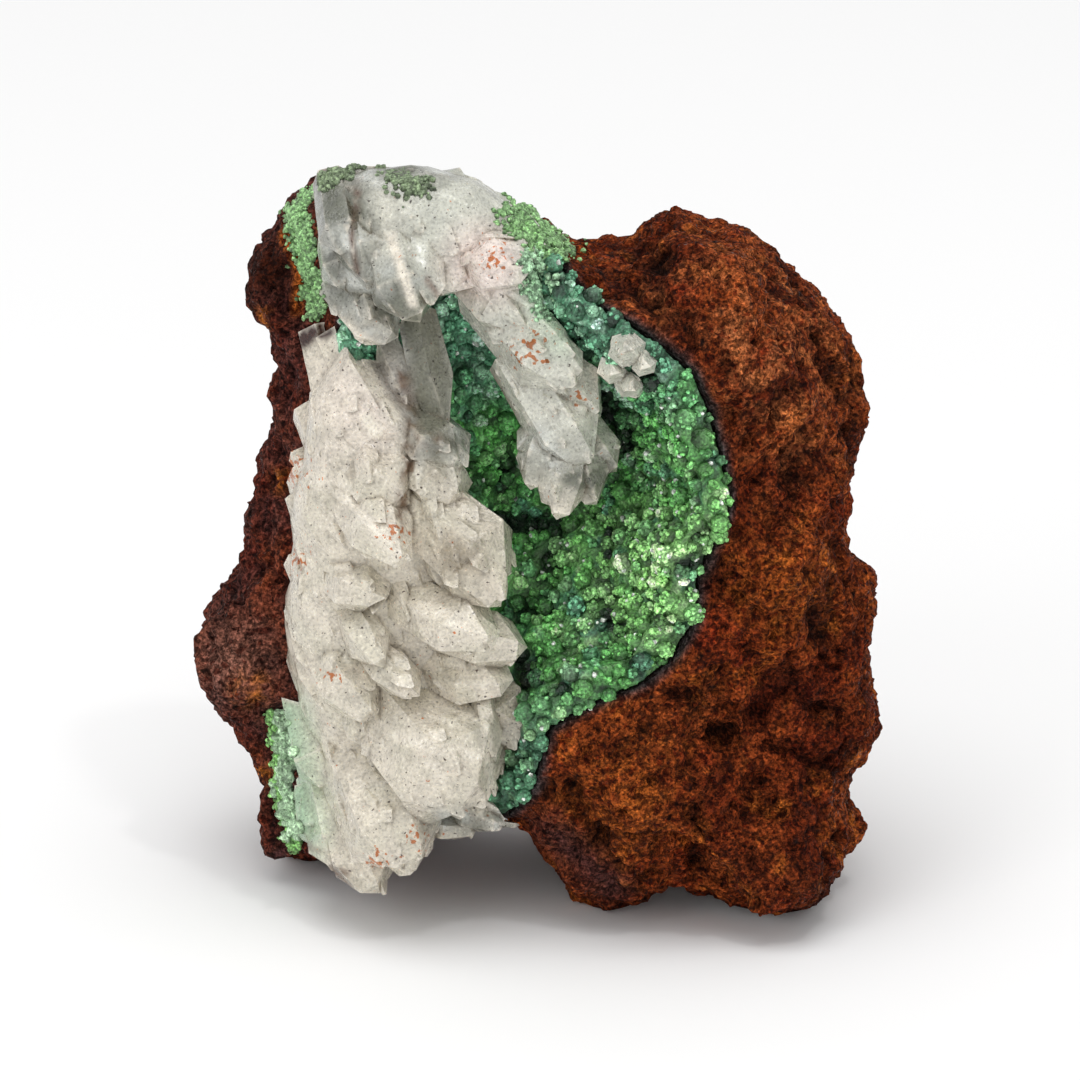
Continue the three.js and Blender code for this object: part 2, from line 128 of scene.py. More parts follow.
def joined_mesh(name, parts):
    """One mesh of several (points, faces) parts."""
    points, faces, first = [], [], 0
    for part_points, part_faces in parts:
        points.append(part_points)
        faces.extend([tuple(first + i for i in face) for face in part_faces])
        first += len(part_points)
    mesh = bpy.data.meshes.new(name)
    mesh.from_pydata(np.vstack(points).tolist(), [], faces)
    mesh.update()
    return mesh


def remeshed(name, source, voxel, smoothing=0):
    """A new object with the source mesh remade of even faces, voxel millimetres across."""
    obj = add_object(name, source)
    even = obj.modifiers.new("even", "REMESH")
    even.mode = "VOXEL"
    even.voxel_size = voxel * MM
    if smoothing:
        soft = obj.modifiers.new("soft", "SMOOTH")
        soft.factor = 0.5
        soft.iterations = smoothing
    graph = bpy.context.evaluated_depsgraph_get()
    made = bpy.data.meshes.new_from_object(obj.evaluated_get(graph))
    obj.modifiers.clear()
    obj.data = made
    return obj


def surface_tree(mesh):
    """The mesh's faces in a form that rays and nearest-point searches can use."""
    return BVHTree.FromPolygons([v.co for v in mesh.vertices], [p.vertices for p in mesh.polygons])


def shade_smooth(mesh):
    mesh.polygons.foreach_set("use_smooth", [True] * len(mesh.polygons))
    mesh.update()


def keep_inside(co, node):
    """Points held inside the CAD node's own box."""
    low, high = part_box(node)
    return np.clip(co, np.array(low), np.array(high))


def cloud(co, size, seed, octaves=3):
    """Soft noise, about -1 to 1, whose features are size millimetres across."""
    shift = Vector((seed * 17.3, seed * 9.1, seed * 5.7))
    scale = 1 / (size * MM)
    basis = "PERLIN_ORIGINAL"
    places = (Vector(p) * scale + shift for p in co)
    return np.array([noise.fractal(p, 1.0, 2.0, octaves, noise_basis=basis) for p in places])


def knobs(co, size, seed):
    """Rounded lumps size millimetres apart, 0 in the creases and 1 on top."""
    shift = Vector((seed * 3.7, seed * 11.9, seed * 7.3))
    scale = 1 / (size * MM)
    nearest = np.array([noise.voronoi(Vector(p) * scale + shift)[0][0] for p in co])
    return np.sqrt(np.clip(1 - nearest**2, 0, 1))


def spot(across, up, where, reach):
    """1 near a place of the front view, falling to 0 at `reach` millimetres."""
    away = np.hypot(across - where[0], up - where[1]) / reach
    return np.clip(1 - away, 0, 1) ** 1.5


def stroke(across, up, start, end, reach):
    """1 along a line of the front view, falling to 0 at `reach` millimetres."""
    along = np.array(end, float) - np.array(start, float)
    t = ((across - start[0]) * along[0] + (up - start[1]) * along[1]) / max(along @ along, 1e-9)
    t = np.clip(t, 0, 1)
    away = np.hypot(across - start[0] - t * along[0], up - start[1] - t * along[1]) / reach
    return np.clip(1 - away, 0, 1)


def mixed(base, other, share):
    """Colours of points with a share of another colour mixed in, 0 to 1 at each point."""
    share = np.clip(share, 0, 1)[:, None]
    return base * (1 - share) + np.array(other) * share


def paint(mesh, colours):
    """Gives each point its linear colour, which the materials read as Tint."""
    layer = mesh.color_attributes.new("Tint", "FLOAT_COLOR", "POINT")
    rgba = np.ones((len(colours), 4))
    rgba[:, :3] = np.clip(colours, 0, 1)
    layer.data.foreach_set("color", rgba.ravel())


def stain(mesh, shares):
    """Gives each point its share of rusty specks, which the calcite reads as Stain."""
    layer = mesh.attributes.new("Stain", "FLOAT", "POINT")
    layer.data.foreach_set("value", shares)


# Materials


def linear(red, green, blue):
    """An sRGB colour of 0 to 255 as linear light."""
    shares = (red / 255, green / 255, blue / 255)
    return tuple(((c + 0.055) / 1.055) ** 2.4 if c > 0.04 else c / 12.92 for c in shares)


def new_material(name):
    material = bpy.data.materials.new(name)
    material.use_nodes = True
    nodes = material.node_tree.nodes
    return material, nodes, material.node_tree.links, nodes["Principled BSDF"]


def noise_node(nodes, links, size, detail=4, kind="ShaderNodeTexNoise"):
    """A noise texture in object space with features size millimetres across."""
    place_node = nodes.new("ShaderNodeTexCoord")
    texture = nodes.new(kind)
    texture.inputs["Scale"].default_value = 1 / (size * MM)
    if "Detail" in texture.inputs:
        texture.inputs["Detail"].default_value = detail
    links.new(place_node.outputs["Object"], texture.inputs["Vector"])
    return texture


def ramp_node(nodes, links, source, stops):
    """A colour ramp over a pattern. Each stop is a place on it and a grey or a colour."""
    ramp = nodes.new("ShaderNodeValToRGB")
    stops = sorted(stops)
    while len(ramp.color_ramp.elements) < len(stops):
        ramp.color_ramp.elements.new(0.5)
    for element, (position, value) in zip(ramp.color_ramp.elements, stops):
        element.position = position
        element.color = (*value, 1) if isinstance(value, tuple) else (value, value, value, 1)
    links.new(source, ramp.inputs["Fac"])
    return ramp


# The sockets of a Mix node that are used when it mixes colours
MIX_SHARE, MIX_FIRST, MIX_SECOND, MIX_RESULT = 0, 6, 7, 2


def toned(nodes, links, colour, pattern, stops, share=1.0):
    """The colour multiplied by a pattern's tones, which a ramp of stops gives."""
    tones = ramp_node(nodes, links, pattern, stops)
    mix = nodes.new("ShaderNodeMix")
    mix.data_type = "RGBA"
    mix.blend_type = "MULTIPLY"
    mix.inputs[MIX_SHARE].default_value = share
    links.new(colour, mix.inputs[MIX_FIRST])
    links.new(tones.outputs["Color"], mix.inputs[MIX_SECOND])
    return mix.outputs[MIX_RESULT]


def bump(nodes, links, height, distance, strength, under=None):
    """A bump of distance millimetres, on top of another bump if one is given."""
    node = nodes.new("ShaderNodeBump")
    node.inputs["Distance"].default_value = distance * MM
    node.inputs["Strength"].default_value = strength
    links.new(height, node.inputs["Height"])
    if under is not None:
        links.new(under, node.inputs["Normal"])
    return node.outputs["Normal"]


def point_value(nodes, name, output):
    """Reads what each point of the mesh was given under a name: its Color or its Fac."""
    reader = nodes.new("ShaderNodeAttribute")
    reader.attribute_name = name
    return reader.outputs[output]


def one_channel(nodes, links, colour):
    """The red of a colour, so that a random colour gives one even random number."""
    split = nodes.new("ShaderNodeSeparateColor")
    links.new(colour, split.inputs["Color"])
    return split.outputs[0]


# Tones of the rock's fine noise, its grains and its dark grit: place on the pattern, tone
ROCK_FINE_TONES = [(0.38, 0.35), (0.5, 0.9), (0.58, 1.1), (0.68, 2.0)]
ROCK_GRAIN_TONES = [
    (0.05, (0.12, 0.05, 0.03)),
    (0.3, (0.4, 0.3, 0.26)),
    (0.6, 0.62),
    (0.85, 0.85),
    (0.98, 1.9),
]
ROCK_GRIT_TONES = [(0.38, (0.28, 0.1, 0.07)), (0.45, 1.0)]
# Most of the rock is dull and some of its grains shine
ROCK_ROUGHNESS = [(0.33, 0.3), (0.45, 0.9)]


def limonite_material():
    material, nodes, links, shader = new_material("limonite")
    fine = noise_node(nodes, links, 0.34, 3)
    grains = noise_node(nodes, links, 0.5, kind="ShaderNodeTexVoronoi")
    grit = noise_node(nodes, links, 0.8, 5)
    one_tone_each = one_channel(nodes, links, grains.outputs["Color"])
    colour = point_value(nodes, "Tint", "Color")
    colour = toned(nodes, links, colour, fine.outputs["Fac"], ROCK_FINE_TONES)
    colour = toned(nodes, links, colour, one_tone_each, ROCK_GRAIN_TONES, 0.9)
    colour = toned(nodes, links, colour, grit.outputs["Fac"], ROCK_GRIT_TONES, 0.8)
    links.new(colour, shader.inputs["Base Color"])
    shine = noise_node(nodes, links, 0.5, 3)
    roughness = ramp_node(nodes, links, shine.outputs["Fac"], ROCK_ROUGHNESS)
    links.new(roughness.outputs["Color"], shader.inputs["Roughness"])
    shader.inputs["Specular IOR Level"].default_value = 0.09
    first = bump(nodes, links, grit.outputs["Fac"], 1.0, 0.9)
    links.new(bump(nodes, links, fine.outputs["Fac"], 0.5, 0.9, first), shader.inputs["Normal"])
    return material


GREEN_TONES = [(0.34, 0.45), (0.5, 0.95), (0.62, 1.5), (0.72, 2.2)]


def conichalcite_material():
    material, nodes, links, shader = new_material("conichalcite")
    fine = noise_node(nodes, links, 0.3, 4)
    colour = point_value(nodes, "Tint", "Color")
    colour = toned(nodes, links, colour, fine.outputs["Fac"], GREEN_TONES)
    links.new(colour, shader.inputs["Base Color"])
    shader.inputs["Roughness"].default_value = 0.3
    shader.inputs["Specular IOR Level"].default_value = 0.5
    links.new(bump(nodes, links, fine.outputs["Fac"], 0.25, 0.9), shader.inputs["Normal"])
    return material


# Tones of the calcite's inner facets, its veils and its frosting: place on the pattern, tone
FACET_TONES = [(0.1, 0.7), (0.5, 0.86), (0.9, 1.0)]
VEIL_TONES = [(0.3, 0.84), (0.6, 1.06)]
FROSTING_TONES = [(0.34, 0.72), (0.5, 1.0), (0.62, 1.02), (0.7, 1.4)]
# Black dots, and rusty specks where the surface is stained
DOT_TONES = [(0.72, 1.0), (0.735, (0.08, 0.05, 0.04))]
RUST_TONES = [(0.72, 1.0), (0.76, (0.62, 0.2, 0.05))]
# How much a full stain widens the rusty specks
STAIN_REACH = 0.27
# How much smoother and rougher than its mean the calcite is in places
SMOOTHER = 0.16
ROUGHER = 0.14


def calcite_material(name, clearness, roughness):
    material, nodes, links, shader = new_material(name)
    facets = noise_node(nodes, links, 2.6, kind="ShaderNodeTexVoronoi")
    mottle = noise_node(nodes, links, 1.6, 5)
    frosting = noise_node(nodes, links, 0.3, 3)
    specks = noise_node(nodes, links, 0.36, 1)
    rust = noise_node(nodes, links, 0.6, 3)
    stained = nodes.new("ShaderNodeMath")
    stained.operation = "MULTIPLY_ADD"
    stained.inputs[1].default_value = STAIN_REACH
    links.new(point_value(nodes, "Stain", "Fac"), stained.inputs[0])
    links.new(rust.outputs["Fac"], stained.inputs[2])
    colour = point_value(nodes, "Tint", "Color")
    colour = toned(nodes, links, colour, facets.outputs["Color"], FACET_TONES)
    colour = toned(nodes, links, colour, mottle.outputs["Fac"], VEIL_TONES)
    colour = toned(nodes, links, colour, frosting.outputs["Fac"], FROSTING_TONES)
    colour = toned(nodes, links, colour, specks.outputs["Fac"], DOT_TONES)
    colour = toned(nodes, links, colour, stained.outputs["Value"], RUST_TONES)
    links.new(colour, shader.inputs["Base Color"])
    gloss = noise_node(nodes, links, 1.2, 4)
    gloss_stops = [(0.38, roughness - SMOOTHER), (0.62, roughness + ROUGHER)]
    rough = ramp_node(nodes, links, gloss.outputs["Fac"], gloss_stops)
    links.new(rough.outputs["Color"], shader.inputs["Roughness"])
    shader.inputs["Coat Weight"].default_value = 0.3
    shader.inputs["Coat Roughness"].default_value = 0.14
    shader.inputs["IOR"].default_value = 1.58
    shader.inputs["Transmission Weight"].default_value = clearness
    shader.inputs["Subsurface Weight"].default_value = 0.2
    shader.inputs["Subsurface Radius"].default_value = (1.0, 0.95, 0.8)
    shader.inputs["Subsurface Scale"].default_value = 0.8 * MM
    first = bump(nodes, links, mottle.outputs["Fac"], 0.4, 0.45)
    links.new(bump(nodes, links, frosting.outputs["Fac"], 0.2, 0.6, first), shader.inputs["Normal"])
    return material


# Limonite

RUST = linear(124, 58, 24)
DEEP_BROWN = linear(88, 33, 11)
SHADED_BROWN = linear(46, 17, 7)
ORANGE = linear(158, 84, 30)
OCHRE = linear(186, 108, 34)
RED_BROWN = linear(112, 38, 16)
PURPLE_BROWN = linear(68, 41, 40)
NEARLY_BLACK = linear(22, 11, 9)
METAL_GREY = linear(58, 52, 52)
CREST_LIGHT_RUST = linear(168, 98, 58)
PALE_PURPLE = linear(124, 84, 70)
CLEFT_SHADE_BROWN = linear(30, 11, 6)

# How much the rock rises over broad swells, lumps and grains, and sinks in crags, creases and pits,
# in millimetres
SWELL_RISE = 0.9
LUMP_RISE = 0.7
GRAIN_RISE = 0.55
CRAG_DEPTH = 0.9
CREASE_DEPTH = 0.5
PIT_DEPTH = 2.0
# Rock nearer to the crust than this stays as it is, and beyond the second length it is fully rough
CALM_NEAR_CRUST = 0.4
CALM_FADE = 2.0
# The height above the floor, in millimetres, below which the feet stay flat
FOOT_HEIGHT = 0.4

# Clefts, ledge lines and pits in the face, cut in and darkened with painted shade: from, to, reach, depth
CLEFTS = [
    ((14, 22.4), (22, 20.4), 1.1, 0.9),
    ((15, 20.8), (16, 20.6), 1.3, 1.5),
    ((17.6, 18.9), (19, 18.3), 1.1, 1.4),
    ((22.5, 17.6), (26, 16.4), 0.9, 1.2),
    ((26, 16.4), (31, 14), 0.9, 1.2),
    ((15.4, 10.4), (15.8, 5), 1.2, 1.4),
    ((2.5, 13), (5, 9), 0.9, 1.0),
    ((5, 9), (8, 5), 0.9, 1.0),
    ((8, 5), (10.4, 3.4), 0.9, 1.0),
    ((27.5, 58), (29, 54.5), 1.1, 1.4),
    ((29, 54.5), (30.5, 52), 1.1, 1.4),
    ((31.4, 57), (31.6, 44), 1.2, 1.0),
    ((17.6, 36), (17, 33.6), 1.0, 1.2),
    ((7.6, 63.8), (12.6, 59.3), 1.5, 1.2),
    ((12.6, 59.3), (14.6, 57), 1.3, 1.0),
    ((10.2, 66.4), (10.8, 66), 2.4, 2.0),
    ((28, 29.6), (28.6, 28), 2.4, 1.4),
    ((24, 24), (27, 21.5), 1.8, 0.9),
    ((27, 21.5), (30, 20.5), 1.4, 1.1),
    ((20, 13), (23, 11.6), 0.8, 0.8),
    ((24.6, 45), (26.2, 41), 0.9, 0.9),
    ((21.6, 31), (24.6, 29.4), 0.9, 0.9),
]


def cleft_depth(co, ways):
    """How deep the clefts are at points of the face, in millimetres."""
    across, up = front_view(co)
    seen = np.clip(-4 * (ways @ np.array(VIEW_DIRECTION)), 0, 1)
    waver = 0.9 * cloud(co, 2.0, 16, 3)
    depth = np.zeros(len(co))
    for start, end, reach, deep in CLEFTS:
        depth = np.maximum(depth, deep * stroke(across + waver, up + waver, start, end, reach))
    return depth * seen


def limonite_colours(co, height, rim, cleft):
    """The colour of each point of the rock, from its place, its height, the crust's edge and the clefts."""
    across, up = front_view(co)
    broad = cloud(co, 9, 1)
    patch = cloud(co, 3.2, 2)
    grain = cloud(co, 1.1, 3)
    colours = np.tile(np.array(DEEP_BROWN), (len(co), 1))
    # Rust in broad patches, a little more on raised places as painted light
    colours = mixed(colours, RUST, 0.5 + 0.9 * broad + 0.5 * patch + 0.25 * height)
    colours = mixed(colours, ORANGE, 1.6 * (patch + 0.4 * grain - 0.22))
    colours = mixed(colours, RED_BROWN, 1.2 * (cloud(co, 6, 4) - 0.12))
    # Painted shade in the rock's low places
    colours = mixed(colours, SHADED_BROWN, 1.0 * (-0.1 - height))
    # Paler on the upper lobe's crest, where light falls from above: painted light over the grain
    colours = mixed(colours, CREST_LIGHT_RUST, 0.8 * spot(across, up, (20, 56), 20) * (0.45 + patch + grain))
    # The orange boss at the foot of the lobe, the redder hollow above it and painted shade at the lower
    # right
    colours = mixed(colours, ORANGE, 0.75 * spot(across, up, (8.5, 12), 11) * (0.6 + grain))
    colours = mixed(colours, ORANGE, 0.7 * spot(across, up, (24, 33), 10) * (0.6 + grain))
    colours = mixed(colours, RED_BROWN, 0.6 * spot(across, up, (26, 22), 10))
    colours = mixed(colours, SHADED_BROWN, 0.7 * spot(across, up, (28, 3), 9))
    colours = mixed(colours, PURPLE_BROWN, 0.8 * stroke(across, up, (1, 9), (7, 3.6), 3.2))
    # The rind at the left is darker, with ochre spots
    rind = np.clip((-18 - across) / 5, 0, 1)
    colours = mixed(colours, PURPLE_BROWN, 0.6 * rind + 0.5 * rind * patch)
    colours = mixed(colours, PALE_PURPLE, 0.9 * spot(across, up, (-31, 26), 8))
    # The smooth cup near the rind's top, darkened with painted shade, and its orange edge
    colours = mixed(colours, SHADED_BROWN, 1.4 * spot(across, up, (-27, 65), 6))
    colours = mixed(colours, ORANGE, 0.9 * stroke(across, up, (-25.5, 68.3), (-23.8, 65), 0.9))
    colours = mixed(colours, ORANGE, 0.9 * stroke(across, up, (-23.8, 65), (-24.2, 60.8), 0.9))
    for where, reach in (((-29, 23), 3), ((-28.5, 14.5), 2.4), ((-26, 44), 2), ((-28, 60), 2)):
        colours = mixed(colours, OCHRE, 0.9 * spot(across, up, where, reach) * (0.5 + 1.5 * grain + patch))
    # A smoother brown band beside the hollow, painted shade in the hollow at the lower right, and painted
    # shade in the clefts
    colours = mixed(colours, DEEP_BROWN, 0.8 * stroke(across, up, (14, 57), (20.5, 42), 4.5))
    colours = mixed(colours, SHADED_BROWN, 0.6 * spot(across, up, (26.5, 22.5), 7))
    colours = mixed(colours, CLEFT_SHADE_BROWN, 0.7 * cleft)
    colours = mixed(colours, NEARLY_BLACK, 2.4 * (grain - 0.42))
    # Dark, slightly metallic ore along the edge of the crust
    colours = mixed(colours, METAL_GREY, rim)
    return colours


def make_limonite(crust_tree):
    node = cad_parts["limonite_matrix"]
    obj = remeshed("limonite", node.data.copy(), ROCK_VOXEL, smoothing=5)
    mesh = obj.data
    co, ways = points_of(mesh), normals_of(mesh)
    near_crust = np.array([crust_tree.find_nearest(Vector(p))[3] / MM for p in co])
    rim = np.clip(1.5 - near_crust / 0.9, 0, 1)
    open_rock = np.clip((near_crust - CALM_NEAR_CRUST) / CALM_FADE, 0, 1)
    swells = cloud(co, 5.5, 11, 4)
    lumps = knobs(co + swells[:, None] * 0.8 * MM, 2.4, 5)
    grains = knobs(co + cloud(co, 0.9, 14, 1)[:, None] * 0.3 * MM, 1.0, 9)
    crags = np.abs(cloud(co, 3.6, 12, 5))
    creases = np.abs(cloud(co, 1.7, 15, 2))
    pits = np.clip(cloud(co, 2.2, 13, 3) - 0.26, 0, 1)
    raised = SWELL_RISE * swells + LUMP_RISE * (lumps - 0.75) + GRAIN_RISE * (grains - 0.7)
    height = raised - CRAG_DEPTH * crags - CREASE_DEPTH * creases - PIT_DEPTH * pits
    cleft = cleft_depth(co, ways)
    reach = (height - 0.05 - cleft) * open_rock
    moved = co + ways * (reach * MM)[:, None]
    on_floor = co[:, 2] < FOOT_HEIGHT * MM
    moved[on_floor] = co[on_floor]
    moved[:, 2] = np.maximum(moved[:, 2], 0)
    set_points(mesh, keep_inside(moved, "limonite_matrix"))
    shade_smooth(mesh)
    paint(mesh, limonite_colours(moved, height, rim, cleft))
    mesh.materials.clear()
    mesh.materials.append(limonite_material())
    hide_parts("limonite_matrix")
    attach(obj, "root")
    return obj


# Conichalcite

GREEN = linear(88, 150, 80)
YELLOW_GREEN = linear(126, 176, 102)
PALE_GREEN_AND_HIGHLIGHT = linear(178, 218, 156)
BLUE_GREEN = linear(78, 126, 98)
PALE_BLUE_GREEN_GLINT = linear(160, 202, 180)
BLACK_GREEN_AND_SHADE = linear(16, 34, 19)
SAGE = linear(126, 166, 110)
MOSS = linear(112, 128, 98)
MINT_SAGE = linear(150, 186, 150)
PALE_MINT = linear(158, 188, 152)

# The crust's clumps and the knobs on them: how far apart they are and how high they rise, in
# millimetres
CLUMP_SIZE, CLUMP_RISE = 4.2, 2.6
KNOB_SIZE, KNOB_RISE = 1.6, 0.8
CLUMP_SEED = 31

# Painted shade in the gaps between the clumps: from, to, reach
SHADED_GAPS = [
    ((-6, 39.7), (2, 39.4), 1.3),
    ((6.6, 30.2), (7.6, 29.4), 1.4),
    ((-1.4, 31.6), (-0.4, 31), 1.3),
    ((6.4, 52), (8, 47.5), 2.0),
    ((13.8, 35.6), (17, 36.2), 1.2),
    ((-2, 26), (-1, 24), 1.2),
]


def green_at(co):
    """The crust's colour at points on it, with painted light and shade."""
    across, up = front_view(co)
    patch = cloud(co, 4.0, 21)
    grain = cloud(co, 1.2, 22)
    colours = np.tile(np.array(GREEN), (len(co), 1))
    colours = mixed(colours, YELLOW_GREEN, 1.2 * spot(across, up, (12, 34), 17) + 1.0 * patch)
    colours = mixed(colours, BLUE_GREEN, 1.6 * (cloud(co, 2.2, 23) - 0.05))
    colours = mixed(colours, BLUE_GREEN, 1.3 * np.clip((up - 49) / 8, 0, 1) + 0.6 * patch)
    colours = mixed(colours, BLUE_GREEN, 0.9 * np.clip((24 - up) / 6, 0, 1))
    # Pale grains, with painted highlights thickest where light falls on the lower right
    colours = mixed(colours, PALE_GREEN_AND_HIGHLIGHT, 1.8 * (grain - 0.18) * (0.35 + spot(across, up, (13, 34), 16)))
    # Painted glints on the blue-green top
    colours = mixed(colours, PALE_BLUE_GREEN_GLINT, 1.6 * (grain - 0.25) * np.clip((up - 46) / 8, 0, 1))
    colours = mixed(colours, BLACK_GREEN_AND_SHADE, 1.8 * (-0.3 - grain))
    waver = 0.8 * grain
    # Painted shade in the gaps between the clumps
    for start, end, reach in SHADED_GAPS:
        colours = mixed(colours, BLACK_GREEN_AND_SHADE, 1.6 * stroke(across + waver, up + waver, start, end, reach))
    # Painted light that lifts the shade deep in the hollow
    deep = np.clip((6 - across) / 8, 0, 1) * (up > 28)
    # Painted shade in the creases between the clumps, and painted light on their tops
    clump_shade = 0.15 + 1.2 * knobs(co, CLUMP_SIZE, CLUMP_SEED)
    return colours * ((1 + 0.9 * deep) * clump_shade)[:, None]


def faces_hollow(where, way, rock_tree):
    """Whether a spot of the crust looks into the open and not at the rock behind it."""
    return rock_tree.ray_cast(where + way * 0.02 * MM, way, 1.2 * MM)[0] is None


# Spots are sorted into cells this many millimetres across
CELL = 1.2


def scattered(mesh, spacing, keep, tries, seed):
    """Spots spread over a mesh: (place, normal, spacing there).

    A spot keeps its spacing from those in its own cell and the cells around it.
    """
    pick = random.Random(seed)
    mesh.calc_loop_triangles()
    triangles = [(tri.vertices[:], tri.area, tri.normal.copy()) for tri in mesh.loop_triangles]
    weights = np.cumsum([area for _, area, _ in triangles])
    co = points_of(mesh)
    cells, found = {}, []
    for _ in range(tries):
        corners, _, normal = triangles[int(np.searchsorted(weights, pick.random() * weights[-1]))]
        a, b = math.sqrt(pick.random()), pick.random()
        where = Vector(co[corners[0]] * (1 - a) + co[corners[1]] * a * (1 - b) + co[corners[2]] * a * b)
        room = spacing(where, pick) * MM
        cell = tuple(int(math.floor(c / (CELL * MM))) for c in where)
        around = (
            other
            for i in (-1, 0, 1)
            for j in (-1, 0, 1)
            for k in (-1, 0, 1)
            for other in cells.get((cell[0] + i, cell[1] + j, cell[2] + k), ())
        )
        if any((other[0] - where).length < (room + other[2]) / 2 for other in around):
            continue
        if not keep(where, normal):
            continue
        entry = (where, normal, room)
        cells.setdefault(cell, []).append(entry)
        found.append(entry)
    return found


def ball_shape(rings, around):
    """A unit ball as (points, faces)."""
    points = [(0, 0, 1)]
    for ring in range(1, rings):
        turn = math.pi * ring / rings
        points += [
            (
                math.sin(turn) * math.cos(2 * math.pi * k / around),
                math.sin(turn) * math.sin(2 * math.pi * k / around),
                math.cos(turn),
            )
            for k in range(around)
        ]
    points.append((0, 0, -1))
    faces = [(0, 1 + k, 1 + (k + 1) % around) for k in range(around)]
    for ring in range(rings - 2):
        first = 1 + ring * around
        for k in range(around):
            after = (k + 1) % around
            faces.append((first + k, first + around + k, first + around + after, first + after))
    last = len(points) - 1
    faces += [(last, last - around + (k + 1) % around, last - around + k) for k in range(around)]
    return np.array(points), faces


# How far a grain's axis leans at random, and its painted shade at its root and painted light at its tip
GRAIN_LEAN = 0.3
ROOT_SHADE, TIP_SHADE = 0.12, 1.27


def grain_piece(name, grains, material, rings, around, unevenness, seed):
    """One piece of many grains, each (middle, way it points, radius, colour), with painted shade at the
    root.
    """
    pick = random.Random(seed)
    shape, faces = ball_shape(rings, around)
    along = np.clip(0.5 + 0.5 * shape[:, 2], 0, 1)
    shade = ROOT_SHADE + (TIP_SHADE - ROOT_SHADE) * along**1.6
    parts, colours = [], []
    for middle, way, radius, colour in grains:
        axis = way + Vector([pick.gauss(0, GRAIN_LEAN) for _ in range(3)])
        turn = axis.to_track_quat("Z", "Y").to_matrix()
        uneven = np.array([pick.uniform(1 - unevenness, 1 + unevenness) for _ in shape])[:, None]
        parts.append(((shape * uneven * radius) @ np.array(turn).T + np.array(middle), faces))
        colours.append(shade[:, None] * colour)
    mesh = joined_mesh(name, parts)
    obj = add_object(name, mesh)
    paint(mesh, np.vstack(colours))
    mesh.materials.append(material)
    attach(obj, "root")


# The rounded grains: how far apart, how large against that, and how clear of the calcite, in
# millimetres
BALL_SPACING = (0.7, 2.0)
BALL_SHARE = 0.56
BALL_CLEARANCE = 0.8
BALL_TRIES = 24000
# The fine crystals on them: their sizes, and how many grow for each millimetre of a grain's spacing
FROST_SIZE = (0.12, 0.33)
FROST_COUNT = 20
# The few fine crystals painted nearly white as painted glints
PAINTED_GLINT_SHARE = 0.05
PAINTED_GLINT = linear(236, 244, 232)
# Rings, sides and unevenness of a grain's mesh
BALL_GRAIN = (7, 10, 0.09)
FROST_GRAIN = (3, 6, 0.2)
DRUSE_GRAIN = (3, 6, 0.25)


def frost_at(where):
    """How thickly fine crystals cover a place of the crust, 0 to 1."""
    across, up = (v[0] for v in front_view(np.array([list(where)])))
    bright = spot(across, up, (13, 33), 17) + 0.9 * spot(across, up, (10, 54), 12)
    return min(1, max(0.2, 1.5 * bright + 0.9 * noise.noise(where / (2.6 * MM))))


def make_crust(rock_tree, calcite_tree, material):
    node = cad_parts["conichalcite_crust"]
    obj = remeshed("conichalcite", node.data.copy(), CRUST_VOXEL, smoothing=3)
    mesh = obj.data
    co, ways = points_of(mesh), normals_of(mesh)
    exposed = np.array([faces_hollow(Vector(p), Vector(w), rock_tree) for p, w in zip(co, ways)])
    clumps = (knobs(co, CLUMP_SIZE, CLUMP_SEED) - 0.72) * CLUMP_RISE
    rise = clumps + (knobs(co, KNOB_SIZE, 32) - 0.7) * KNOB_RISE - 0.45
    moved = co + ways * (rise * exposed * MM)[:, None]
    set_points(mesh, keep_inside(moved, "conichalcite_crust"))
    shade_smooth(mesh)
    # Painted shade where the crust sinks between its knobs
    paint(mesh, mixed(green_at(moved), BLACK_GREEN_AND_SHADE, 0.35 - 0.5 * rise))
    mesh.materials.clear()
    mesh.materials.append(material)
    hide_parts("conichalcite_crust")
    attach(obj, "root")

    def in_sight(where, way):
        clear = calcite_tree.find_nearest(where)[3] > BALL_CLEARANCE * MM
        return clear and faces_hollow(where, way, rock_tree)

    def room(where, pick):
        return pick.uniform(*BALL_SPACING)

    pick = random.Random(42)
    spots = scattered(mesh, room, in_sight, BALL_TRIES, 41)
    tones = green_at(np.array([list(where) for where, _, _ in spots]))
    balls, frost = [], []
    for (where, way, space), tone in zip(spots, tones):
        radius = space * BALL_SHARE * pick.uniform(0.85, 1.1)
        middle = where + way * radius * pick.uniform(-0.1, 0.4)
        cover = frost_at(where)
        balls.append((middle, way, radius, tone * pick.uniform(0.6, 1.1)))
        for _ in range(int(cover * FROST_COUNT * space / MM)):
            lean = (way * 0.9 + Vector([pick.gauss(0, 0.6) for _ in range(3)])).normalized()
            size = pick.uniform(*FROST_SIZE) * MM
            # Frost paler than its ball and brighter where it lies thick: partly painted light on the
            # grains' tips
            glow = tone * pick.uniform(0.9, 1.9) * (0.9 + 0.5 * cover)
            # A few frost grains carry a painted glint
            if pick.random() < PAINTED_GLINT_SHARE:
                glow = np.array(PAINTED_GLINT)
            frost.append((middle + lean * radius, lean, size, glow))
    frost.sort(key=lambda grain: grain[0].z)
    half = len(frost) // 2
    grain_piece("conichalcite_balls", balls, material, *BALL_GRAIN, 43)
    grain_piece("conichalcite_frost_low", frost[:half], material, *FROST_GRAIN, 44)
    grain_piece("conichalcite_frost_high", frost[half:], material, *FROST_GRAIN, 45)


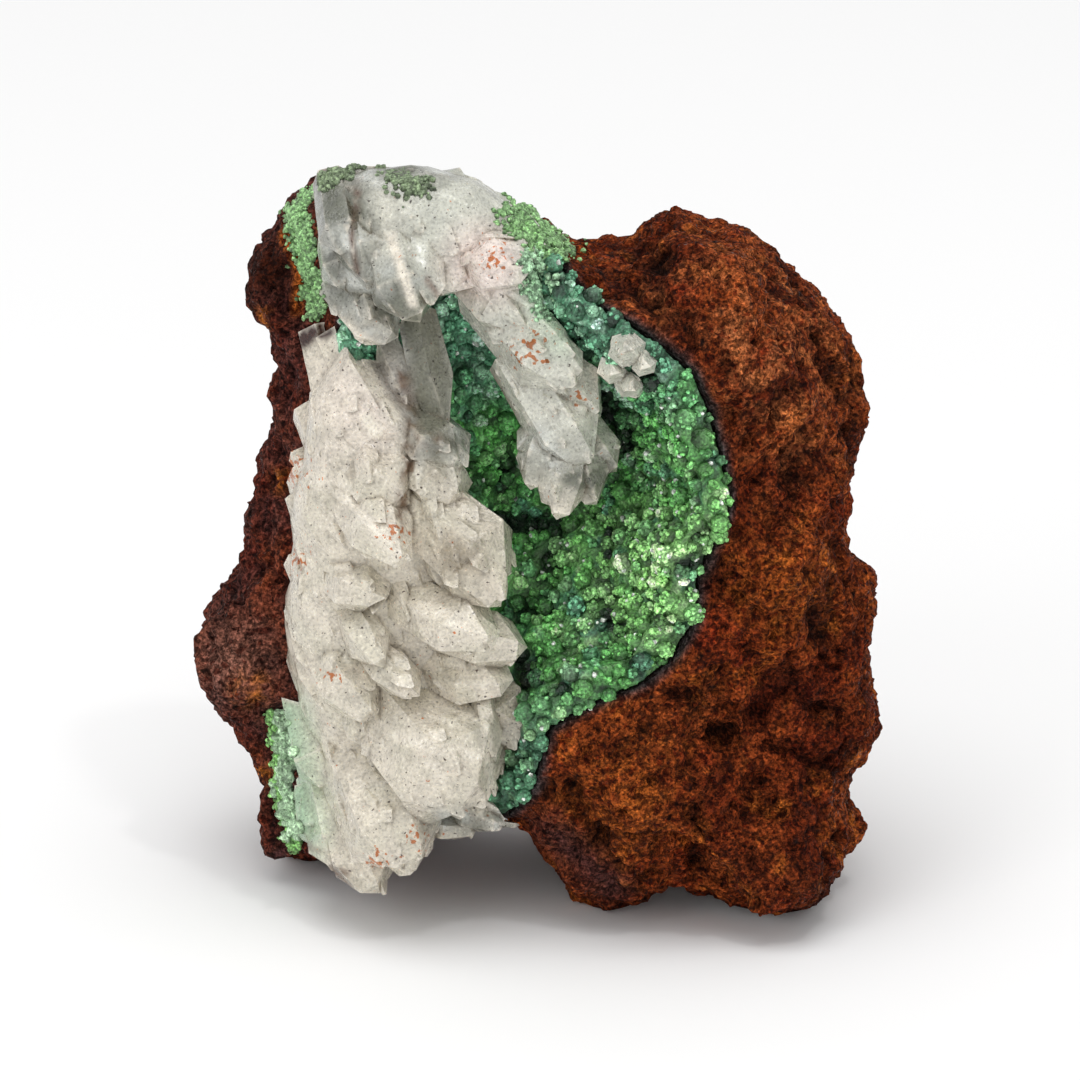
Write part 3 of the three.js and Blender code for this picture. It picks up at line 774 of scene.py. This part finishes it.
# Thin green druse outside the hollow: from, to, reach, colour, number and sizes of grains
FINE = (0.14, 0.4)
COARSE = (0.35, 0.75)
DRUSE_LINES = [
    ((-18, 74.6), (-22.4, 72.4), 0.7, MOSS, 600, FINE),
    ((-22.6, 72.8), (-24.4, 71), 0.7, SAGE, 400, FINE),
    ((-24.4, 71), (-23.4, 67), 1.1, SAGE, 900, FINE),
    ((-23.5, 67.6), (-22.2, 60.4), 0.9, SAGE, 1200, FINE),
    ((-15, 74.8), (-12, 72.8), 1.6, MOSS, 800, FINE),
    ((-2.5, 70.3), (2, 66.5), 1.9, SAGE, 1300, FINE),
    ((-1, 66), (0.8, 60), 1.3, MINT_SAGE, 500, FINE),
    ((-27, 20.5), (-26.4, 14), 0.5, YELLOW_GREEN, 300, FINE),
    ((-26.4, 14), (-24.8, 6.5), 0.6, YELLOW_GREEN, 450, FINE),
    ((-26.1, 20.5), (-25, 8), 0.8, PALE_MINT, 260, COARSE),
]
# How squarely the surface has to face the viewer to carry druse
DRUSE_FACING = 0.3


def make_druse(trees, material):
    """Grains on whatever the front view shows along the lines."""
    pick = random.Random(46)
    grains = []
    for start, end, reach, colour, count, sizes in DRUSE_LINES:
        for _ in range(count):
            t = pick.random()
            across = start[0] + t * (end[0] - start[0]) + pick.gauss(0, 0.5) * reach
            up = start[1] + t * (end[1] - start[1]) + pick.gauss(0, 0.45) * reach
            across += 0.9 * noise.noise(Vector((0.7 * across, 0.7 * up, 3)))
            hits = [tree.ray_cast(place(across, up, -60), VIEW_DIRECTION) for tree in trees]
            hits = [hit for hit in hits if hit[0] is not None]
            if not hits:
                continue
            where, way, _, _ = min(hits, key=lambda hit: hit[3])
            if -way.dot(VIEW_DIRECTION) < DRUSE_FACING:
                continue
            size = pick.uniform(*sizes) * MM
            # The topmost grains sit deeper, within the specimen's height
            where.z = min(where.z, cad_box[1][2] - 1.3 * size)
            grains.append((where, way, size, np.array(colour) * pick.uniform(0.6, 1.7)))
    grain_piece("conichalcite_druse", grains, material, *DRUSE_GRAIN, 47)


# Calcite

MILKY = linear(228, 221, 202)
CREAM = linear(236, 227, 210)
GREY_CLEAR = linear(158, 159, 149)
PALE_GREY = linear(218, 219, 206)
MINT = linear(190, 220, 186)
PINKISH_AND_LIGHT = linear(252, 236, 226)
DARK_CLEAR_SHADE = linear(112, 114, 100)
WHITE_CLEAR_REFLECTION = linear(222, 224, 216)
MARGIN_BROWN = linear(122, 96, 74)
SHADED_OLIVE_GREY = linear(134, 134, 118)
DULL_BROWN = linear(178, 166, 144)
EDGE_HIGHLIGHT = linear(252, 243, 226)
CREASE_SHADE = linear(132, 118, 98)
RIND_FILM = linear(56, 22, 10)
FRACTURE = linear(110, 76, 58)

# Where the calcite is clear and grey: from, to, reach, share
GREY_LINES = [
    ((-21, 73), (-19, 63), 5.0, 1.0),
    ((-14, 62), (-10, 48), 4.0, 1.0),
    ((-17, 74), (-10, 75), 3.5, 0.7),
    ((-17.5, 58), (-13.5, 51), 2.5, 0.8),
    ((-3.5, 19), (-0.5, 13), 4.0, 0.25),
    ((-10, 10), (-3, 9.5), 2.5, 0.5),
    ((-1.5, 46), (6, 44), 4.5, 0.5),
]
# Brown films in fractures: from, to, reach
FRACTURES = [
    ((-18.3, 74), (-17.7, 72), 0.45),
    ((-17.7, 72), (-18.4, 67.5), 0.45),
    ((-18.4, 67.5), (-17.8, 64), 0.5),
    ((-13.6, 54), (-11.5, 49.5), 0.8),
    ((-11, 63.3), (-5.5, 55.8), 0.6),
    ((-5.5, 55.8), (-2.5, 50), 0.6),
]
# Where the calcite's margin is brown: from, to, reach
MARGINS = [
    ((-26.6, 50), (-26.8, 33), 2.0),
    ((-26.8, 33), (-26.4, 22), 1.8),
    ((-24, 7), (-19, 4), 1.6),
    ((-13.6, 54), (-10.6, 48), 1.6),
    ((-12, 53), (-13.6, 40), 1.0),
]
# Duller, browner faces: where, reach, share
DULL_FACES = [
    ((-8, 36), 6.5, 0.9),
    ((-3.5, 20.5), 3.5, 0.6),
    ((-2.8, 15), 4, 0.6),
    ((-10.5, 44.5), 3, 0.6),
]
# Painted highlights on ridges and facet edges: from, to, reach
HIGHLIGHTS = [
    ((-20.6, 60), (-16.4, 57), 0.8),
    ((-17.8, 55.5), (-14.2, 50), 0.9),
    ((-16.9, 49.8), (-16.2, 48.6), 0.9),
    ((-19.5, 43), (-14, 36.5), 1.0),
    ((-8.4, 29.6), (-2.2, 27.2), 0.9),
    ((-5.8, 25), (-5.2, 21), 0.8),
    ((-14, 18.6), (-6.2, 16.6), 1.0),
    ((-11, 16), (-9.6, 14.5), 0.7),
    ((-5.4, 20.4), (-4.8, 12.6), 0.6),
    ((-24.4, 45.6), (-21.6, 43.6), 0.7),
    ((-12.2, 31.2), (-7, 30.4), 0.9),
    ((3.6, 58.6), (6, 53.5), 0.7),
    ((-14.5, 67.5), (-12.4, 61), 0.7),
]
# Smooth blades without small crystals, painted olive grey as their shade in the hollow: from, to, reach
SMOOTH_BLADES = [((-11.6, 60), (-10.4, 50), 2.6)]
# Limonite over the crystals' roots where they leave the rind: from, to, reach
FILMS = [
    ((-23.4, 74.5), (-18, 76.4), 2.3),
    ((-23.4, 61), (-23.7, 58.5), 2.0),
    ((-22.8, 59.6), (-21.4, 58.8), 1.3),
    ((-24.7, 58.5), (-26.3, 52), 1.7),
    ((-26.5, 52), (-27.2, 48), 1.1),
]
# Where rusty specks lie thickest: where, reach
STAIN_SPOTS = [
    ((-12.5, 8.8), 3.0),
    ((-20.5, 24.8), 2.6),
    ((-24.5, 45), 4.0),
    ((-1, 57), 4.0),
    ((-4.5, 65.5), 3.5),
    ((-24, 36), 3),
    ((-14.5, 38.5), 3),
    ((-16, 6), 2.2),
    ((4, 52), 2.5),
]
# Where green shines through: from, to, reach, share
MINT_LINES = [
    ((-26.8, 20), (-25, 9), 5.0, 0.9),
    ((-25, 70), (-23, 64), 2.5, 0.5),
    ((0, 62), (2, 58), 3.0, 0.35),
]


def calcite_colours(co):
    """The colour of each point of the calcite, and its share of rusty specks."""
    across, up = front_view(co)
    patch = cloud(co, 3.5, 51)
    colours = np.tile(np.array(MILKY), (len(co), 1))
    colours = mixed(colours, CREAM, 0.6 + 1.2 * patch)
    finger = np.clip((up - 42) / 5, 0, 1) * np.clip((across + 15) / 3, 0, 1)
    colours = mixed(colours, PALE_GREY, 0.85 * finger)
    colours = mixed(colours, PALE_GREY, 0.7 * np.clip((up - 60) / 3, 0, 1))
    for start, end, reach, share in GREY_LINES:
        near = stroke(across, up, start, end, reach)
        colours = mixed(colours, GREY_CLEAR, 1.6 * share * near * (0.9 + 0.6 * patch))
        # Painted shade and painted inner reflections in the clear grey crystals
        colours = mixed(colours, DARK_CLEAR_SHADE, share * near * 4 * (0.02 - patch))
        colours = mixed(colours, WHITE_CLEAR_REFLECTION, share * near * 4 * (patch - 0.15))
    colours = mixed(colours, PINKISH_AND_LIGHT, 2.0 * spot(across, up, (-5.5, 65), 6))
    # Painted light on the upward face at the mass's upper left
    colours = mixed(colours, PINKISH_AND_LIGHT, 0.6 * spot(across, up, (-17, 51), 10))
    for start, end, reach, share in MINT_LINES:
        colours = mixed(colours, MINT, 1.6 * share * stroke(across, up, start, end, reach))
    for start, end, reach in FRACTURES:
        colours = mixed(colours, FRACTURE, 0.8 * stroke(across, up, start, end, reach))
    for start, end, reach in FILMS:
        colours = mixed(colours, RIND_FILM, 3 * stroke(across, up, start, end, reach))
    for start, end, reach in MARGINS:
        near = stroke(across, up, start, end, reach)
        colours = mixed(colours, MARGIN_BROWN, 1.4 * near * (0.35 + 1.5 * cloud(co, 1.4, 53)))
    for start, end, reach in SMOOTH_BLADES:
        # Painted shade on the blades that hang in the hollow
        colours = mixed(colours, SHADED_OLIVE_GREY, 1.8 * stroke(across, up, start, end, reach))
    for where, reach, share in DULL_FACES:
        colours = mixed(colours, DULL_BROWN, share * spot(across, up, where, reach) * (1 + patch))
    # Painted highlights along the listed ridges and edges
    for start, end, reach in HIGHLIGHTS:
        colours = mixed(colours, EDGE_HIGHLIGHT, 1.4 * stroke(across, up, start, end, reach))
    stained = np.zeros(len(co))
    for where, reach in STAIN_SPOTS:
        stained = np.maximum(stained, spot(across, up, where, reach))
    return colours, stained + 0.25 * np.clip(patch, 0, 1)


def edge_turn(mesh, co, ways):
    """How sharply the surface turns at each point, outward positive, in lengths of its edges."""
    ends = np.empty(len(mesh.edges) * 2, dtype=int)
    mesh.edges.foreach_get("vertices", ends)
    ends = ends.reshape(-1, 2)
    steps = co[ends[:, 1]] - co[ends[:, 0]]
    lengths = np.maximum(np.linalg.norm(steps, axis=1), 1e-9)
    turn, count = np.zeros(len(co)), np.zeros(len(co))
    for first, step in ((0, steps), (1, -steps)):
        np.add.at(turn, ends[:, first], -np.sum(step * ways[ends[:, first]], axis=1) / lengths)
        np.add.at(count, ends[:, first], 1)
    return turn / np.maximum(count, 1)


# Where a crystal's six edges end, as a share of its length: the lower three and the step to the others
SHOULDER = 0.55
SHOULDER_STEP = 0.2
# The width of its blunt end, as a share of its own
BLUNTNESS = 0.12


def crystal_shape(width, thickness, length, turn):
    """A crystal along +Z with a blunt three-sided end, from its root at the origin, as (points, faces)."""
    points = []
    for k in range(6):
        angle = turn + k * math.tau / 6
        points.append((width / 2 * math.cos(angle), thickness / 2 * math.sin(angle), 0))
    for k in range(6):
        angle = turn + k * math.tau / 6
        up = length * (SHOULDER + SHOULDER_STEP * (k % 2))
        points.append((width / 2 * math.cos(angle), thickness / 2 * math.sin(angle), up))
    for k in range(3):
        angle = turn + (2 * k + 1) * math.tau / 6
        across, through = width * BLUNTNESS, thickness * BLUNTNESS
        points.append((across * math.cos(angle), through * math.sin(angle), length))
    faces = [tuple(range(5, -1, -1)), (12, 13, 14)]
    for k in range(6):
        after = (k + 1) % 6
        faces.append((k, after, 6 + after, 6 + k))
    for k in range(3):
        high, low, nxt = 6 + 2 * k + 1, 6 + (2 * k + 2) % 6, 6 + (2 * k + 3) % 6
        faces += [(high, low, 12 + k), (low, 12 + (k + 1) % 3, 12 + k), (low, nxt, 12 + (k + 1) % 3)]
    return np.array(points), faces


# The way the big crystals grew, and how far the small ones drift and scatter from it
GROWTH = Vector((0.5, -0.5, -0.7)).normalized()
DRIFT = 0.5
DRIFT_SIZE = 9
SCATTER = 0.12
# Ranges of a small crystal: lift off the surface, width against its spacing, length and thickness
# against its width, twist, and how deep it is sunk
LIFTS = (0.12, 0.4)
WIDTHS = (0.9, 1.3)
STRETCHES = (1.1, 2.0)
FLATNESSES = (0.45, 0.8)
TWISTS = (-0.3, 0.3)
SUNK = (0.1, 0.32)
# The share of its length that lies before the spot it is placed at
ROOT_SHARE = 0.75
# The share of spots that carry one
CRYSTAL_SHARE = 0.8
# How far its root and its tip may stand out of the big crystals, in millimetres, and how often and
# by how much it is made smaller until they don't
ROOT_OUT = 0.1
TIP_OUT = 0.9
SIZE_TRIES = 4
SHRINK = 0.72


def stands_out(points, tree):
    """How far the furthest of some points lies outside a closed mesh, in millimetres."""
    furthest = 0
    for point in points:
        where, way, _, away = tree.find_nearest(point)
        if (point - where).dot(way) > 0:
            furthest = max(furthest, away)
    return furthest / MM


def small_crystals(mesh, sizes, tries, seed):
    """Crystals that lie half sunk in a calcite mesh and point the way the big ones grew, as objects."""
    pick = random.Random(seed)
    tree = surface_tree(mesh)

    def room(where, picker):
        return picker.uniform(*sizes)

    def keep(where, way):
        across, up = front_view(np.array([list(where)]))
        smooth = any(stroke(across, up, *line)[0] > 0 for line in SMOOTH_BLADES)
        return pick.random() < CRYSTAL_SHARE and not smooth

    made = []
    for where, normal, spacing in scattered(mesh, room, keep, tries, seed):
        drift = Vector(noise.noise_vector(where / (DRIFT_SIZE * MM)))
        along = GROWTH + drift * DRIFT + Vector([pick.gauss(0, SCATTER) for _ in range(3)])
        along = (along - normal * along.dot(normal) * 0.8).normalized()
        axis = (along + normal * pick.uniform(*LIFTS)).normalized()
        outward = (normal - axis * normal.dot(axis)).normalized()
        turn = np.array([outward.cross(axis), outward, axis]).T
        width = spacing * pick.uniform(*WIDTHS)
        stretch, flatness = pick.uniform(*STRETCHES), pick.uniform(*FLATNESSES)
        twist, sunk = pick.uniform(*TWISTS), pick.uniform(*SUNK)
        for _ in range(SIZE_TRIES):
            points, faces = crystal_shape(width, width * flatness, width * stretch, twist)
            root = where - axis * width * stretch * ROOT_SHARE - normal * width * flatness * sunk
            points = points @ turn.T + np.array(root)
            corners = [Vector(p) for p in points]
            if stands_out(corners[:6], tree) < ROOT_OUT and stands_out(corners[6:], tree) < TIP_OUT:
                made.append(bpy.data.objects.new("crystal", joined_mesh("crystal", [(points, faces)])))
                break
            width *= SHRINK
    return made


def grown_together(name, source, crystals):
    """A new object with the crystals joined to the source mesh in one skin."""
    work = bmesh.new()
    work.from_mesh(source)
    bmesh.ops.remove_doubles(work, verts=work.verts, dist=0.001 * MM)
    work.to_mesh(source)
    work.free()
    obj = add_object(name, source)
    group = bpy.data.collections.new("crystals")
    bpy.context.scene.collection.children.link(group)
    for crystal in crystals:
        group.objects.link(crystal)
    union = obj.modifiers.new("union", "BOOLEAN")
    union.operation = "UNION"
    union.solver = "MANIFOLD"
    union.operand_type = "COLLECTION"
    union.collection = group
    graph = bpy.context.evaluated_depsgraph_get()
    made = bpy.data.meshes.new_from_object(obj.evaluated_get(graph))
    obj.modifiers.clear()
    obj.data = made
    for crystal in crystals:
        bpy.data.objects.remove(crystal)
    bpy.data.collections.remove(group)
    return obj


def cut_finer(mesh, longest):
    """Splits edges until none is much longer than `longest` millimetres."""
    work = bmesh.new()
    work.from_mesh(mesh)
    for _ in range(6):
        bmesh.ops.triangulate(work, faces=[f for f in work.faces if len(f.verts) > 3])
        long_edges = [e for e in work.edges if e.calc_length() > longest * MM * 1.3]
        if not long_edges:
            break
        bmesh.ops.subdivide_edges(work, edges=long_edges, cuts=1)
    bmesh.ops.triangulate(work, faces=[f for f in work.faces if len(f.verts) > 3])
    work.to_mesh(mesh)
    work.free()


# The two calcites: the sizes of their small crystals, how many spots are tried for them, how clear
# and rough they are, and the longest edge of their meshes in millimetres
BIG_CALCITE = {
    "node": "calcite_crystals",
    "name": "calcite",
    "slot": "calcite",
    "sizes": (1.2, 4.8),
    "tries": 5000,
    "clearness": 0.18,
    "roughness": 0.3,
    "longest": 0.62,
}
SMALL_CALCITE = {
    "node": "calcite_cluster",
    "name": "calcite_small",
    "slot": "calcite_white",
    "sizes": (0.9, 2.4),
    "tries": 200,
    "clearness": 0.15,
    "roughness": 0.32,
    "longest": 0.5,
}
# Faces that meet at more than this many degrees keep a sharp edge between them
SHARP_FROM = 14
# How sharply a surface turns where painted highlights start on its ridges and painted shade in its creases
TURN_SHOWN = 0.12
EDGE_CONTRAST = 1.6


def make_calcite(node, name, slot, sizes, tries, clearness, roughness, longest):
    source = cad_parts[node].data.copy()
    obj = grown_together(name, source, small_crystals(source, sizes, tries, 61))
    mesh = obj.data
    cut_finer(mesh, longest)
    co, ways = points_of(mesh), normals_of(mesh)
    wear = 0.05 * cloud(co, 2.0, 62, 2) - 0.02
    moved = co + ways * (wear * MM)[:, None]
    set_points(mesh, keep_inside(moved, node))
    shade_smooth(mesh)
    mesh.set_sharp_from_angle(angle=math.radians(SHARP_FROM))
    colours, stained = calcite_colours(moved)
    turning = edge_turn(mesh, moved, normals_of(mesh))
    # Painted highlights on the ridges and painted shade in the creases
    colours = mixed(colours, EDGE_HIGHLIGHT, EDGE_CONTRAST * (turning - TURN_SHOWN))
    colours = mixed(colours, CREASE_SHADE, EDGE_CONTRAST * (-TURN_SHOWN - turning))
    paint(mesh, colours)
    stain(mesh, stained)
    mesh.materials.clear()
    mesh.materials.append(calcite_material(name, clearness, roughness))
    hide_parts(node)
    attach(obj, "root")
    return obj


rock_tree = surface_tree(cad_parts["limonite_matrix"].data)
crust_tree = surface_tree(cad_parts["conichalcite_crust"].data)
calcite_tree = surface_tree(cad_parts["calcite_crystals"].data)
green = conichalcite_material()

rock = make_limonite(crust_tree)
make_crust(rock_tree, calcite_tree, green)
calcite = make_calcite(**BIG_CALCITE)
make_calcite(**SMALL_CALCITE)
make_druse([surface_tree(rock.data), crust_tree, surface_tree(calcite.data)], green)

# Floor, light and camera

FLOOR_SIZE = 6
FLOOR_COLOUR = (0.97, 0.97, 0.97)
SKY = (1.0, 1.0, 1.0)
SKY_STRENGTH = 0.66
LAMPS = [
    {"name": "overhead", "at": (-0.05, -0.2, 1.0), "size": 0.7, "watts": 3.8},
    {"name": "front_left", "at": (-0.7, -0.9, 0.7), "size": 0.6, "watts": 2.2},
    {"name": "front_low", "at": (0.1, -1.3, 0.22), "size": 0.6, "watts": 1.5},
    {"name": "small_overhead", "at": (0.25, -0.4, 0.9), "size": 0.06, "watts": 0.7},
]


def make_stage():
    half = FLOOR_SIZE / 2
    corners = [(-half, -half, 0), (half, -half, 0), (half, half, 0), (-half, half, 0)]
    mesh = bpy.data.meshes.new("floor")
    mesh.from_pydata(corners, [], [(0, 1, 2, 3)])
    floor = add_object("floor", mesh)
    material, _, _, shader = new_material("floor")
    shader.inputs["Base Color"].default_value = (*FLOOR_COLOUR, 1)
    shader.inputs["Roughness"].default_value = 0.9
    shader.inputs["Specular IOR Level"].default_value = 0.1
    mesh.materials.append(material)

    world = bpy.data.worlds.new("studio")
    world.use_nodes = True
    sky = world.node_tree.nodes["Background"]
    sky.inputs["Color"].default_value = (*SKY, 1)
    sky.inputs["Strength"].default_value = SKY_STRENGTH
    bpy.context.scene.world = world

    low, high = cad_box
    middle = (Vector(low) + Vector(high)) / 2
    for lamp in LAMPS:
        data = bpy.data.lights.new(lamp["name"], "AREA")
        data.size = lamp["size"]
        data.energy = lamp["watts"]
        obj = bpy.data.objects.new(lamp["name"], data)
        obj.location = lamp["at"]
        obj.rotation_mode = "QUATERNION"
        obj.rotation_quaternion = (middle - Vector(lamp["at"])).to_track_quat("-Z", "Y")
        bpy.context.scene.collection.objects.link(obj)


def make_camera():
    data = bpy.data.cameras.new("camera")
    data.sensor_width = SENSOR
    data.lens = SENSOR * CAMERA_DISTANCE / SEEN_WIDTH
    data.clip_start, data.clip_end = SEEN_FROM, SEEN_TO
    camera = bpy.data.objects.new("camera", data)
    camera.location = place(*AIM) - VIEW_DIRECTION * CAMERA_DISTANCE
    camera.rotation_mode = "QUATERNION"
    camera.rotation_quaternion = VIEW_DIRECTION.to_track_quat("-Z", "Y")
    bpy.context.scene.collection.objects.link(camera)
    bpy.context.scene.camera = camera


make_stage()
make_camera()
bpy.context.scene.view_settings.view_transform = "Standard"
